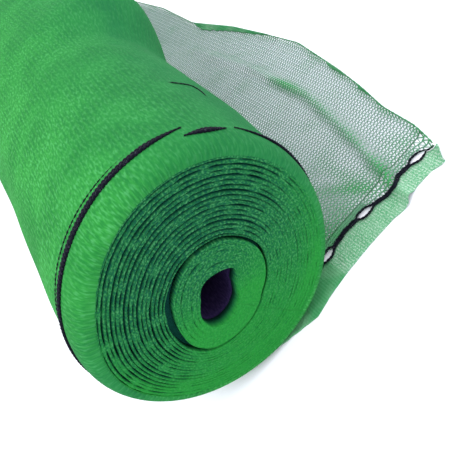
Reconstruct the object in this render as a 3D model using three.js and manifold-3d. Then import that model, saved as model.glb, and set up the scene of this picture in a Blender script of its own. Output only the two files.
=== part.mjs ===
// A roll of knitted debris netting lying on its side, with its loose end laid out flat beside it.
// Millimetres, +Z up. The roll's axis lies along Y. x = 0 is under the axis, y = 0 is mid width
// and z = 0 is the ground. The near selvedge, with its line of eyelet slits, is at -Y.
import * as THREE from 'three';
import { mergeVertices } from 'three/addons/utils/BufferGeometryUtils.js';
import Module from 'manifold-3d';

const CLOTH_WIDTH = 1000;        // selvedge to selvedge, which is the roll's length
const HALF_WIDTH = CLOTH_WIDTH / 2;
const SHEET_THICK = 1.6;         // the knit, with its chains and its laid-in strands
const FIT_GAP = 0.35;            // between pieces that lie against each other

// The wound roll
const ROLL_X = -1;               // middle of its section
const ROLL_Z = 117.6;
const ROLL_HALF_WIDTH = 125;
const ROLL_HALF_HEIGHT = 119.7;  // more than ROLL_Z, which leaves a flat spot 24 mm wide
const ROLL_SKEW = 4;             // fuller at the top right, flatter at the top left
const SHOULDER_DEPTH = 26;       // how far from the end the outer turns start to round over
const SHOULDER_DROP = 11;        // and how much smaller the end face is than the roll
const LEAN = 20;                 // the top of the roll leans to the right, away from the near end
const LEAN_LENGTH = 380;
const HOLLOW_X = -8;             // middle of the hollow
const HOLLOW_Z = 104;
const BUNDLE_X = -7;             // middle of the inner bundle, which has sagged inside the roll
const BUNDLE_Z = 107;
const BUNDLE_RADIUS = 49;
const BUNDLE_GAP_DEPTH = 22;     // the gap round the inner bundle, in the near end
const MOUTH_DEPTH = 4;           // the innermost turns stand back from the end face

// The slack fold of the outer turn, low on the right side of the far part
const SLACK_BULGE = 46;
const SLACK_ANGLE = 22;          // degrees above level
const SLACK_SPREAD = 36;
const SLACK_START = -190;        // Y where it begins, and where it is at its full size
const SLACK_FULL = -85;
const SLACK_EASE = 0.3;          // share of it that is gone at the far end

// The hollow's outline: distance from its middle at each angle, anticlockwise from +X seen
// from the near end. It is a drop with one sharp corner at the upper right.
const HOLLOW_OUTLINE = [
  { deg: -173, reach: 24.2 }, { deg: -146, reach: 28.8 }, { deg: -128, reach: 27.8 },
  { deg: -105, reach: 23.8 }, { deg: -84, reach: 20.1 }, { deg: -40, reach: 15.6 },
  { deg: -7, reach: 16.1 }, { deg: 21, reach: 27.9 }, { deg: 46, reach: 26.2 },
  { deg: 66, reach: 25.1 }, { deg: 92, reach: 23.0 }, { deg: 131, reach: 18.4 },
  { deg: 152, reach: 19.2 },
];

// The loose end
const PANEL_START = 31;          // where it comes clear of the roll
const STRIP_WIDTH = 46;          // the eyelet strip, from the selvedge inwards
const STRIP_JOIN_Y = -HALF_WIDTH + STRIP_WIDTH;
const CUT_EDGE = [               // the cut edge of the loose end, from near to far
  { y: -500, x: 217 }, { y: -471, x: 229 }, { y: -441, x: 237 }, { y: -389, x: 242 },
  { y: -340, x: 254 }, { y: -288, x: 264 }, { y: -186, x: 279 }, { y: -116, x: 275 },
  { y: -25, x: 268 }, { y: 85, x: 250 }, { y: 218, x: 255 }, { y: 403, x: 243 },
  { y: 500, x: 240 },
];
const SELVEDGE = [               // the near selvedge of the loose end, from the roll outwards
  { x: 31, y: -505 }, { x: 55, y: -500 }, { x: 78, y: -497 }, { x: 110, y: -495.5 },
  { x: 144, y: -496 }, { x: 166, y: -500 }, { x: 173, y: -495 }, { x: 184, y: -492 },
  { x: 204, y: -492.5 }, { x: 217, y: -499 }, { x: 230, y: -504 },
];
const CREASE = [                 // the standing crease, from the near selvedge to where it fades
  { y: -500, x: 170 }, { y: -473, x: 173 }, { y: -456, x: 179 }, { y: -367, x: 201 },
  { y: -273, x: 219 }, { y: -151, x: 221 }, { y: 500, x: 185 },
];
const CREASE_HEIGHT = 6;
const CREASE_HALF_WIDTH = 7;
const CREASE_FADE_FROM = -150;   // Y where the crease starts to sink, and where it is gone
const CREASE_FADE_TO = 120;
const RIPPLE = [                 // low lifts of the cloth off the ground
  { x: 118, y: -300, height: 4, alongX: 26, alongY: 120 },
  { x: 165, y: 60, height: 5, alongX: 30, alongY: 90 },
  { x: 110, y: 300, height: 4.5, alongX: 28, alongY: 110 },
];
const GROUNDED = 0.3;            // a lift lower than this lies on the ground
const CURL_HEIGHT = 4;           // the cut edge curls up
const CURL_WIDTH = 9;
const PANEL_COLUMNS = 20;
const PANEL_ROWS = 30;

// The black eyelet line and its slits
const EYELET_LINE = [            // the middle of the line on the loose end, from the roll outwards
  { x: 17, y: -487 }, { x: 36, y: -482 }, { x: 61, y: -472 }, { x: 74, y: -467 },
  { x: 90, y: -465 }, { x: 112, y: -462 }, { x: 147, y: -467 }, { x: 165, y: -473 },
  { x: 173, y: -477 }, { x: 184, y: -467 }, { x: 198, y: -468 }, { x: 219, y: -471 },
  { x: 226, y: -479 },
];
const SLIT_HALF_LENGTH = 9.5;
const SLIT_HALF_WIDTH = 3.5;
const LENGTHS = [                // the strip in three lengths, each with the slit in it
  { from: PANEL_START, to: 109, slit: 82 }, { from: 109, to: 172, slit: 136.5 },
  { from: 172, to: Infinity, slit: 209 },   // the last one ends at the cut edge
];
const LENGTH_COLUMNS = 14;
const CORD_WIDTH = 2.2;
const CORD_HEIGHT = 1.4;
const CORD_CLEARANCE = 0.6;      // over the strip, whose facets cut the corner at the crease
const CORD_STEPS = 48;
const LINE_START = 36;
const LINE_END = 225;
const LINE_Y = -470;             // where the line runs round the roll
const LINE_WIDTH = 5;
const LINE_HEIGHT = 1.3;
const LINE_STEP_Y = -5;          // the pleat sets the right-hand stretch nearer the end

const ROLL_SIDES = 64;
const STEP_DEG = 360 / ROLL_SIDES;
const RADIANS = Math.PI / 180;

// The value of a table's column at a place, on straight lines between its rows.
function along(table, key, value, at) {
  const last = table.length - 1;
  if (at <= table[0][key]) return table[0][value];
  if (at >= table[last][key]) return table[last][value];
  const k = table.findIndex((row) => row[key] > at);
  const [a, b] = [table[k - 1], table[k]];
  return THREE.MathUtils.lerp(a[value], b[value], (at - a[key]) / (b[key] - a[key]));
}

const bell = (distance, spread) => Math.exp(-((distance / spread) ** 2));
const { smoothstep } = THREE.MathUtils;

// The outside of the roll at an angle from +X and a place along it: an oval, skewed, rounded
// over at both ends, with the slack fold, leaning, and flat where it meets the ground.
function rollSurface(deg, y, inset = 0) {
  const angle = deg * RADIANS;
  const oval = 1 / Math.hypot(Math.cos(angle) / ROLL_HALF_WIDTH, Math.sin(angle) / ROLL_HALF_HEIGHT);
  const fromEnd = Math.min(SHOULDER_DEPTH, HALF_WIDTH - Math.abs(y));
  const round = 1 - fromEnd / SHOULDER_DEPTH;
  const shoulder = SHOULDER_DROP * (1 - Math.sqrt(1 - round ** 2));
  const skew = ROLL_SKEW * Math.sin(2 * angle) * Math.max(0, Math.sin(angle));
  const offCentre = THREE.MathUtils.euclideanModulo(deg - SLACK_ANGLE + 180, 360) - 180;
  const slack = SLACK_BULGE * bell(offCentre, SLACK_SPREAD) * smoothstep(y, SLACK_START, SLACK_FULL)
    * (1 - SLACK_EASE * smoothstep(y, SLACK_FULL, HALF_WIDTH));
  const reach = oval + skew - shoulder + slack - inset;
  const z = Math.max(0, ROLL_Z + reach * Math.sin(angle));
  const lean = LEAN * smoothstep(y, -HALF_WIDTH, LEAN_LENGTH - HALF_WIDTH) * z / (2 * ROLL_Z);
  return new THREE.Vector3(ROLL_X + reach * Math.cos(angle) + lean, y, z);
}

// The edge of the inner bundle, and of the hollow inside it.
function bundleEdge(deg, y) {
  const angle = deg * RADIANS;
  return new THREE.Vector3(BUNDLE_X + BUNDLE_RADIUS * Math.cos(angle), y,
    BUNDLE_Z + BUNDLE_RADIUS * Math.sin(angle));
}

function hollowEdge(deg, y) {
  const first = HOLLOW_OUTLINE[0];
  const closed = [...HOLLOW_OUTLINE, { deg: first.deg + 360, reach: first.reach }];
  const turned = THREE.MathUtils.euclideanModulo(deg - first.deg, 360) + first.deg;
  const reach = along(closed, 'deg', 'reach', turned);
  return new THREE.Vector3(HOLLOW_X + reach * Math.cos(deg * RADIANS), y,
    HOLLOW_Z + reach * Math.sin(deg * RADIANS));
}

// The roll starts as a turned ring. Its profile's radius is a level: 1 is the hollow's wall,
// 2 the edge of the inner bundle and 3 the outside. Each point is then moved to its real place.
function woundRoll() {
  const near = -HALF_WIDTH;
  const far = HALF_WIDTH;
  const stations = [near + 6, near + 16, near + 26, near + 40, -400, -330, -260, -215, -180,
    -150, -120, -90, -40, 30, 130, 250, 370, far - 40, far - 16, far - 6];
  const nearFace = [
    { level: 1, y: near + MOUTH_DEPTH }, { level: 1.12, y: near + 0.5 }, { level: 1.9, y: near },
    { level: 1.97, y: near + 3 }, { level: 1.98, y: near + BUNDLE_GAP_DEPTH },
    { level: 2.04, y: near + BUNDLE_GAP_DEPTH }, { level: 2.05, y: near + 2 },
    { level: 2.1, y: near }, { level: 3, y: near },
  ];
  const farFace = [{ level: 3, y: far }, { level: 2, y: far }, { level: 1.12, y: far },
    { level: 1, y: far - MOUTH_DEPTH }];
  const outside = stations.map((y) => ({ level: 3, y }));
  const profile = [...nearFace, ...outside, ...farFace, { level: 1, y: 0 }];
  profile.push(profile[0]);
  const ring = new THREE.LatheGeometry(profile.map((p) => new THREE.Vector2(p.level, p.y)), ROLL_SIDES);
  return shaped(ring, (p) => {
    const level = Math.hypot(p.x, p.z);
    const deg = Math.atan2(p.z, p.x) / RADIANS;
    const bundle = bundleEdge(deg, p.y);
    return level < 2
      ? hollowEdge(deg, p.y).lerp(bundle, level - 1)
      : bundle.lerp(rollSurface(deg, p.y), Math.min(1, level - 2));
  });
}

// Moves each point of a geometry by a rule, after its doubled points are merged.
function shaped(geometry, rule) {
  geometry.deleteAttribute('normal');
  geometry.deleteAttribute('uv');
  const merged = mergeVertices(geometry, 1e-4);
  const points = merged.attributes.position;
  const p = new THREE.Vector3();
  for (let i = 0; i < points.count; i += 1) {
    const moved = rule(p.fromBufferAttribute(points, i));
    points.setXYZ(i, moved.x, moved.y, moved.z);
  }
  return merged;
}

// A box cut into a grid, with corners at 0 and 1 each way, shaped by a rule.
function shapedBox(across, lengthwise, rule) {
  const box = new THREE.BoxGeometry(1, 1, 1, across, lengthwise, 1).translate(0.5, 0.5, 0.5);
  return shaped(box, rule);
}

// How far the loose cloth stands off the ground: the crease, the low lifts and the curled edge.
function clothLift(x, y) {
  const fade = 1 - smoothstep(y, CREASE_FADE_FROM, CREASE_FADE_TO);
  const crease = CREASE_HEIGHT * fade * bell(x - along(CREASE, 'y', 'x', y), CREASE_HALF_WIDTH);
  const lifts = RIPPLE.reduce((sum, r) => sum
    + r.height * bell(x - r.x, r.alongX) * bell(y - r.y, r.alongY), 0);
  const inFromCut = along(CUT_EDGE, 'y', 'x', y) - x;
  const curl = CURL_HEIGHT * Math.max(0, 1 - inFromCut / CURL_WIDTH) ** 2;
  const lift = crease + lifts + curl - GROUNDED;
  return Math.max(0, lift);
}

// The columns of the loose end lie closer together at the crease and at the cut edge.
function panelX(share, y) {
  const cut = along(CUT_EDGE, 'y', 'x', y);
  const crease = along(CREASE, 'y', 'x', y);
  const stops = [
    { share: 0, x: PANEL_START }, { share: 0.4, x: crease - 16 }, { share: 0.75, x: crease + 16 },
    { share: 0.85, x: cut - CURL_WIDTH }, { share: 1, x: cut },
  ];
  return along(stops, 'share', 'x', share);
}

function loosePanel() {
  return shapedBox(PANEL_COLUMNS, PANEL_ROWS, (p) => {
    const y = THREE.MathUtils.lerp(STRIP_JOIN_Y + FIT_GAP, HALF_WIDTH, p.y);
    const x = panelX(p.x, y);
    return new THREE.Vector3(x, y, clothLift(x, y) + p.z * SHEET_THICK);
  });
}

const lineY = (x) => along(EYELET_LINE, 'x', 'y', x);

// Half the gap between the two cords at a place along the line: a lens at each slit.
function slitHalfGap(x) {
  const nearest = Math.min(...LENGTHS.map((length) => Math.abs(x - length.slit)));
  return SLIT_HALF_WIDTH * Math.max(0, 1 - (nearest / SLIT_HALF_LENGTH) ** 2);
}

// One length of the eyelet strip, with its slit cut through it.
function eyeletStrip({ from, to, slit }) {
  const strip = shapedBox(LENGTH_COLUMNS, 5, (p) => {
    const cutX = along(CUT_EDGE, 'y', 'x', THREE.MathUtils.lerp(-HALF_WIDTH, STRIP_JOIN_Y, p.y));
    const x = THREE.MathUtils.lerp(from, Math.min(to - FIT_GAP, cutX), p.x);
    const y = THREE.MathUtils.lerp(along(SELVEDGE, 'x', 'y', x), STRIP_JOIN_Y, p.y);
    return new THREE.Vector3(x, y, clothLift(x, y) + p.z * SHEET_THICK);
  });
  return asManifold(strip).subtract(asManifold(slitCutter(slit)));
}

// A lens-shaped cutter for one slit, tall enough to pass through the cloth.
function slitCutter(x) {
  const steps = 10;
  const outline = [];
  for (let k = 0; k <= steps; k += 1) {
    const at = x + SLIT_HALF_LENGTH * (2 * k / steps - 1);
    outline.push(new THREE.Vector2(at, lineY(at) - slitHalfGap(at)));
  }
  for (let k = steps - 1; k > 0; k -= 1) {
    const at = x + SLIT_HALF_LENGTH * (2 * k / steps - 1);
    outline.push(new THREE.Vector2(at, lineY(at) + slitHalfGap(at)));
  }
  const tall = 12;
  return new THREE.ExtrudeGeometry(new THREE.Shape(outline), { depth: tall, bevelEnabled: false })
    .translate(0, 0, -tall / 2);
}

// One cord of the line on the loose end, on the near (-1) or far (+1) side of the slits.
function lineCord(side) {
  return shapedBox(CORD_STEPS, 1, (p) => {
    const x = THREE.MathUtils.lerp(LINE_START, LINE_END, p.x);
    const middle = lineY(x) + side * (slitHalfGap(x) + 0.4 * CORD_WIDTH);
    const y = middle + (p.y - 0.5) * CORD_WIDTH;
    const top = clothLift(x, y) + SHEET_THICK + CORD_CLEARANCE;
    return new THREE.Vector3(x, y, top + p.z * CORD_HEIGHT);
  });
}

// A stretch of the line round the roll, between two angles, standing proud of the outer turn.
function lineRound(fromStep, toStep, y) {
  return shapedBox(toStep - fromStep, 1, (p) => {
    const deg = STEP_DEG * THREE.MathUtils.lerp(fromStep, toStep, p.x);
    const at = y + (p.y - 0.5) * LINE_WIDTH;
    const proud = FIT_GAP + (1 - p.z) * LINE_HEIGHT;
    return rollSurface(deg, at, -proud);
  });
}

// Joining and cutting.
const wasm = await Module();
wasm.setup();

function asManifold(geometry) {
  const bare = geometry.clone();
  bare.deleteAttribute('normal');
  bare.deleteAttribute('uv');
  const merged = mergeVertices(bare, 1e-4);
  return new wasm.Manifold(new wasm.Mesh({
    numProp: 3,
    vertProperties: new Float32Array(merged.attributes.position.array),
    triVerts: new Uint32Array(merged.index.array),
  }));
}

function asGeometry(solid) {
  const { numProp, vertProperties, triVerts } = solid.getMesh();
  const geometry = new THREE.BufferGeometry();
  geometry.setAttribute('position', new THREE.BufferAttribute(vertProperties, numProp));
  geometry.setIndex(new THREE.BufferAttribute(triVerts, 1));
  return geometry;
}

const netting = new THREE.MeshStandardMaterial({ color: 0x46a85a, roughness: 0.85, metalness: 0 });
const blackCord = new THREE.MeshStandardMaterial({ color: 0x141a28, roughness: 0.8, metalness: 0 });

const group = new THREE.Group();

function addPiece(name, geometry, material) {
  geometry.computeVertexNormals();
  const mesh = new THREE.Mesh(geometry, material);
  mesh.name = name;
  group.add(mesh);
}

addPiece('wound_roll', woundRoll(), netting);
addPiece('loose_panel', loosePanel(), netting);
LENGTHS.forEach((length, k) => {
  addPiece(`eyelet_strip_${k + 1}`, asGeometry(eyeletStrip(length)), netting);
});
addPiece('line_on_strip', asGeometry(asManifold(lineCord(-1)).add(asManifold(lineCord(1)))), blackCord);
addPiece('line_over_roll', lineRound(10, 40, LINE_Y), blackCord);
addPiece('line_beside_roll', lineRound(-7, 9, LINE_Y + LINE_STEP_Y), blackCord);

export default group;
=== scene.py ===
"""A roll of knitted debris netting on its side, with its loose end laid out flat beside it.

The roll's axis lies along Y. x = 0 is under the axis, y = 0 is mid width and z = 0 is the ground.
Sizes are in millimetres, and make_piece turns them to metres. Angles go round the roll in degrees,
anticlockwise from +X seen from the near end, which is at -Y.
"""
import logging
import math
from collections.abc import Callable, Sequence
from dataclasses import dataclass, field
from enum import Enum

import bpy
import numpy as np
from mathutils import Matrix


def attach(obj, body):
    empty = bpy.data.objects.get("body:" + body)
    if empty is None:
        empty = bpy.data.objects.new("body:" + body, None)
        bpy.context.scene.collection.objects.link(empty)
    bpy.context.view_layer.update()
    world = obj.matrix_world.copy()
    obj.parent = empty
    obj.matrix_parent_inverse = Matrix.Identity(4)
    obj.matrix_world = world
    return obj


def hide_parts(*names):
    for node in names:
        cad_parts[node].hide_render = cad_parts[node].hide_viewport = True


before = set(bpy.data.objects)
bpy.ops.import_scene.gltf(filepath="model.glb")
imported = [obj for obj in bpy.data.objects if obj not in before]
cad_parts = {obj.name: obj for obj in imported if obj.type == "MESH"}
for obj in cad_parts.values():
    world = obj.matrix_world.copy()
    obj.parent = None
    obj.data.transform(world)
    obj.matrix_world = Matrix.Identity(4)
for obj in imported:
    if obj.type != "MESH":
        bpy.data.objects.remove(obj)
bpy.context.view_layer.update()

log = logging.getLogger("netting")

MM = 0.001
HALF_LENGTH = 500.0        # half of the cloth's width, which is the roll's length
WINDING = 58.0             # the winding from the inner bundle to the outside, which is one level
WALE = 5.0                 # from one chain of the knit to the next, along Y
COURSE = 5.7               # from one stitch to the next, round the roll and along the loose end
FIRST_UV = "knit"
TONE = "tone"
# how much painted shade a point gets from lying deep between the turns
DEPTH = "depth"

UPWARD = np.array([0.0, 0.0, 1.0])

Array = np.ndarray


class End(Enum):
    """The two ends of the roll, as the direction from its middle along Y."""

    NEAR = -1
    FAR = 1


class Layer(Enum):
    """The material slots of the wound web."""

    OUTSIDE = 0
    BETWEEN_TURNS = 1
    HOLLOW = 2


def bell(distance: Array, spread: float) -> Array:
    """A smooth hump: 1 at no distance, falling as the exponential of minus the square."""
    return np.exp(-(distance / spread) ** 2)


def smoothstep(place: Array, low: float, high: float) -> Array:
    """0 below low and 1 above high, with an even slope at both: 3 t squared minus 2 t cubed."""
    share = np.clip((place - low) / (high - low), 0.0, 1.0)
    return share * share * (3 - 2 * share)


def blend(first: Array, second: Array, share: Array) -> Array:
    """The point that share of the way from first to second."""
    return first + (second - first) * np.asarray(share)[..., None]


def wander(places: Array, wavelengths: Sequence[float], seed: int, terms: int = 7) -> Array:
    """Soft unevenness between about -1 and 1: the sum of cosines that run in random directions.

    Args:
        places: points, with their coordinates on the last axis.
        wavelengths: the typical distance from hump to hump along each coordinate.
        seed: picks the directions and phases, so that each run is the same.
        terms: how many cosines are added.

    Returns:
        One number for each point.
    """
    rng = np.random.default_rng(seed)
    scaled = np.asarray(places) / np.asarray(wavelengths)
    total = np.zeros(scaled.shape[:-1])
    for _ in range(terms):
        direction = rng.normal(size=scaled.shape[-1])
        direction *= rng.uniform(0.6, 1.5) / np.linalg.norm(direction)
        total += np.cos(2 * np.pi * (scaled @ direction) + rng.uniform(0, 2 * np.pi))
    return total / math.sqrt(terms)


def off_angle(deg: Array, middle: float) -> Array:
    """How far each angle is from the middle one, the short way round, from -180 to 180."""
    return (deg - middle + 180) % 360 - 180


def unit(vectors: Array) -> Array:
    """The same directions, each with a length of 1."""
    return vectors / np.linalg.norm(vectors, axis=-1, keepdims=True)


def run_along(path: Array) -> Array:
    """The length of a path up to each of its points."""
    return np.concatenate([[0], np.cumsum(np.linalg.norm(np.diff(path, axis=0), axis=1))])


def framed(path: Array, up: Array) -> tuple[Array, Array]:
    """The directions across a path and up from it, by two cross products.

    Args:
        path: points along it.
        up: roughly up, at each point or for all.

    Returns:
        Unit vectors across the path, and up from it.
    """
    along = unit(np.gradient(path, axis=0))
    across = unit(np.cross(along, up))
    return across, np.cross(across, along)


@dataclass(frozen=True)
class Curve:
    """A line through a short table of places and values, with its corners rounded.

    Attributes:
        at: the places, rising.
        value: the value at each place.
        rounding: the length over which corners are rounded.
        period: 360 for a table of angles, which then closes on itself, or 0.
    """

    at: tuple[float, ...]
    value: tuple[float, ...]
    rounding: float = 0.0
    period: float = 0.0

    def __call__(self, place: Array) -> Array:
        """The mean of the straight-line values at nine places round each one.

        Args:
            place: where to read the curve.

        Returns:
            The value at each place.
        """
        period = self.period or None
        shifts = np.linspace(-0.5, 0.5, 9) * self.rounding
        values = [np.interp(np.asarray(place) + s, self.at, self.value, period=period) for s in shifts]
        return np.mean(values, axis=0)


def linear(hex_colour: str) -> tuple[float, float, float, float]:
    """The linear colour of an sRGB hex value, with the curve of the sRGB standard.

    Args:
        hex_colour: such as "46A85A".

    Returns:
        Red, green, blue and an alpha of 1.
    """
    parts = [int(hex_colour[k:k + 2], 16) / 255 for k in (0, 2, 4)]
    red, green, blue = [c / 12.92 if c <= 0.04045 else ((c + 0.055) / 1.055) ** 2.4 for c in parts]
    return red, green, blue, 1.0


@dataclass
class Surface:
    """Points and four-cornered faces, with what the material reads from them.

    Attributes:
        points: one row for each vertex, in millimetres.
        faces: four vertex numbers for each face.
        uv: one pair in metres for each corner of each face, or None.
        values: named numbers, one for each vertex.
        layers: the material slot of each face, or None for one material.
    """

    points: Array
    faces: Array
    uv: Array | None = None
    values: dict[str, Array] = field(default_factory=dict)
    layers: Array | None = None

    def outward(self) -> "Surface":
        """Turns every face round if they enclose a negative volume.

        Returns:
            The same surface, with its faces pointing out.
        """
        corners = self.points[self.faces]
        middle = corners.mean(axis=1)
        area = np.cross(corners[:, 2] - corners[:, 0], corners[:, 3] - corners[:, 1])
        if float((middle * area).sum()) < 0:
            self.faces = self.faces[:, ::-1]
            self.uv = None if self.uv is None else self.uv[:, ::-1]
        return self


def joined(parts: Sequence[Surface]) -> Surface:
    """Several surfaces as one.

    Args:
        parts: surfaces that all have the same named values, and all or none a uv.

    Returns:
        One surface with every point and face.
    """
    offsets = np.cumsum([0] + [len(part.points) for part in parts[:-1]])
    faces = np.concatenate([part.faces + offset for part, offset in zip(parts, offsets)])
    uv = None if parts[0].uv is None else np.concatenate([part.uv for part in parts])
    values = {name: np.concatenate([part.values[name] for part in parts]) for name in parts[0].values}
    return Surface(np.concatenate([part.points for part in parts]), faces, uv, values)


def grid(points: Array, uv: Array, wrap_rows: bool = False, wrap_columns: bool = False,
         values: dict[str, Array] | None = None) -> Surface:
    """A surface from a table of points, with a face between each four neighbours.

    Args:
        points: rows by columns by 3.
        uv: rows by columns by 2 in metres, with one more row or column where that way wraps.
        wrap_rows: the last row meets the first.
        wrap_columns: the last column meets the first.
        values: named tables, rows by columns.

    Returns:
        The surface.
    """
    rows, columns = points.shape[:2]
    row = np.arange(rows if wrap_rows else rows - 1)[:, None]
    column = np.arange(columns if wrap_columns else columns - 1)[None, :]
    corner_rows = np.stack(np.broadcast_arrays(row, row + 1, row + 1, row), -1)
    corner_columns = np.stack(np.broadcast_arrays(column, column, column + 1, column + 1), -1)
    corner_rows, corner_columns = np.broadcast_arrays(corner_rows, corner_columns)
    faces = (corner_rows % rows) * columns + corner_columns % columns
    named = {name: table.reshape(-1) for name, table in (values or {}).items()}
    return Surface(points.reshape(-1, 3), faces.reshape(-1, 4),
                   uv[corner_rows, corner_columns].reshape(-1, 4, 2), named)


def closed_sheet(top: Array, thickness: float, uv: Array, values: dict[str, Array]) -> Surface:
    """A thin closed sheet: a table of points, the same points lower down, and a rim between them.

    Args:
        top: rows by columns by 3, the upper face.
        thickness: how far below it the lower face lies.
        uv: rows by columns by 2 in metres.
        values: named tables, rows by columns.

    Returns:
        The surface, as one loop of rows round the sheet, closed at both sides.
    """
    low = top - [0, 0, thickness]
    ring = np.concatenate([top, low[::-1]])
    ring_uv = np.concatenate([uv, uv[::-1], uv[:1]])
    ring_values = {name: np.concatenate([table, table[::-1]]) for name, table in values.items()}
    around = grid(ring, ring_uv, wrap_rows=True, values=ring_values)
    rows, columns = top.shape[:2]
    low_row = 2 * rows - 1 - np.arange(rows)
    sides = []
    for column, turn in ((0, 1), (columns - 1, -1)):
        upper = np.arange(rows) * columns + column
        lower = low_row * columns + column
        side = np.stack([upper[:-1], upper[1:], lower[1:], lower[:-1]], -1)[:, ::turn]
        side_uv = np.stack([uv[:-1, column], uv[1:, column], uv[1:, column], uv[:-1, column]], 1)
        sides.append((side, side_uv[:, ::turn]))
    around.faces = np.concatenate([around.faces] + [side for side, _ in sides])
    around.uv = np.concatenate([around.uv] + [side_uv for _, side_uv in sides])
    return around.outward()


def tubes(paths: Array, across: Array, up: Array, wide: Array, thick: Array,
          counts: Array | None = None, sides: int = 4, values: dict[str, Array] | None = None) -> Surface:
    """Closed strands of an oval section, many at once.

    Each point of a path gets a ring: across times wide times the cosine, plus up times thick times
    the sine. Faces join each ring to the next, and caps close the first and the last.

    Args:
        paths: strands by points by 3.
        across: unit vectors across each strand, of a shape that fits paths.
        up: unit vectors at right angles to across and to the path.
        wide: half the width at each point.
        thick: half the thickness at each point.
        counts: how many points of each strand are used, or None for all.
        sides: how many sides the section has, an even number.
        values: named tables, strands by points.

    Returns:
        One surface with all the strands.
    """
    strands, length = paths.shape[:2]
    counts = np.full(strands, length) if counts is None else counts
    turn = 2 * np.pi * np.arange(sides) / sides
    wide = np.broadcast_to(wide, (strands, length))[..., None, None]
    thick = np.broadcast_to(thick, (strands, length))[..., None, None]
    across = np.broadcast_to(across, paths.shape)[:, :, None]
    up = np.broadcast_to(up, paths.shape)[:, :, None]
    rings = (paths[:, :, None] + across * wide * np.cos(turn)[:, None]
             + up * thick * np.sin(turn)[:, None])
    number = np.arange(strands * length * sides).reshape(strands, length, sides)
    onward = np.roll(number, -1, axis=2)
    walls = np.stack([number[:, :-1], onward[:, :-1], onward[:, 1:], number[:, 1:]], -1)
    used = np.arange(length - 1)[None, :] < (counts - 1)[:, None]
    last = number[np.arange(strands), counts - 1]
    caps = []
    for k in range(sides // 2 - 1):
        corners = [k, k + 1, sides - 2 - k, sides - 1 - k]
        caps += [number[:, 0][:, corners[::-1]], last[:, corners]]
    faces = np.concatenate([walls[used].reshape(-1, 4)] + caps)
    kept, faces = np.unique(faces, return_inverse=True)
    named = {name: np.repeat(table.reshape(-1), sides)[kept] for name, table in (values or {}).items()}
    return Surface(rings.reshape(-1, 3)[kept], faces.reshape(-1, 4), None, named).outward()


def make_piece(name: str, surface: Surface, finishes: Sequence[bpy.types.Material],
               replaced: Sequence[str] = ()) -> bpy.types.Object:
    """Puts a surface into Blender as a piece that rides on the part's one body.

    Args:
        name: the piece's name.
        surface: its points, faces and values, in millimetres.
        finishes: its materials, one for each layer.
        replaced: the names of the CAD nodes that it stands for.

    Returns:
        The new object.
    """
    mesh = bpy.data.meshes.new(name)
    count, faces = len(surface.points), surface.faces
    mesh.vertices.add(count)
    mesh.vertices.foreach_set("co", (surface.points * MM).astype(np.float32).ravel())
    mesh.loops.add(faces.size)
    mesh.loops.foreach_set("vertex_index", faces.astype(np.int32).ravel())
    mesh.polygons.add(len(faces))
    mesh.polygons.foreach_set("loop_start", np.arange(0, faces.size, 4, dtype=np.int32))
    for finish in finishes:
        mesh.materials.append(finish)
    if surface.layers is not None:
        mesh.polygons.foreach_set("material_index", surface.layers.astype(np.int32))
    mesh.update(calc_edges=True)
    mesh.shade_smooth()
    if surface.uv is not None:
        layer = mesh.uv_layers.new(name=FIRST_UV)
        layer.uv.foreach_set("vector", surface.uv.astype(np.float32).ravel())
    for value, numbers in surface.values.items():
        attribute = mesh.attributes.new(value, "FLOAT", "POINT")
        attribute.data.foreach_set("value", numbers.astype(np.float32))
    piece = bpy.data.objects.new(name, mesh)
    bpy.context.scene.collection.objects.link(piece)
    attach(piece, "root")
    if replaced:
        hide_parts(*replaced)
    log.info("%s: %d faces", name, len(faces))
    return piece


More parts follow.
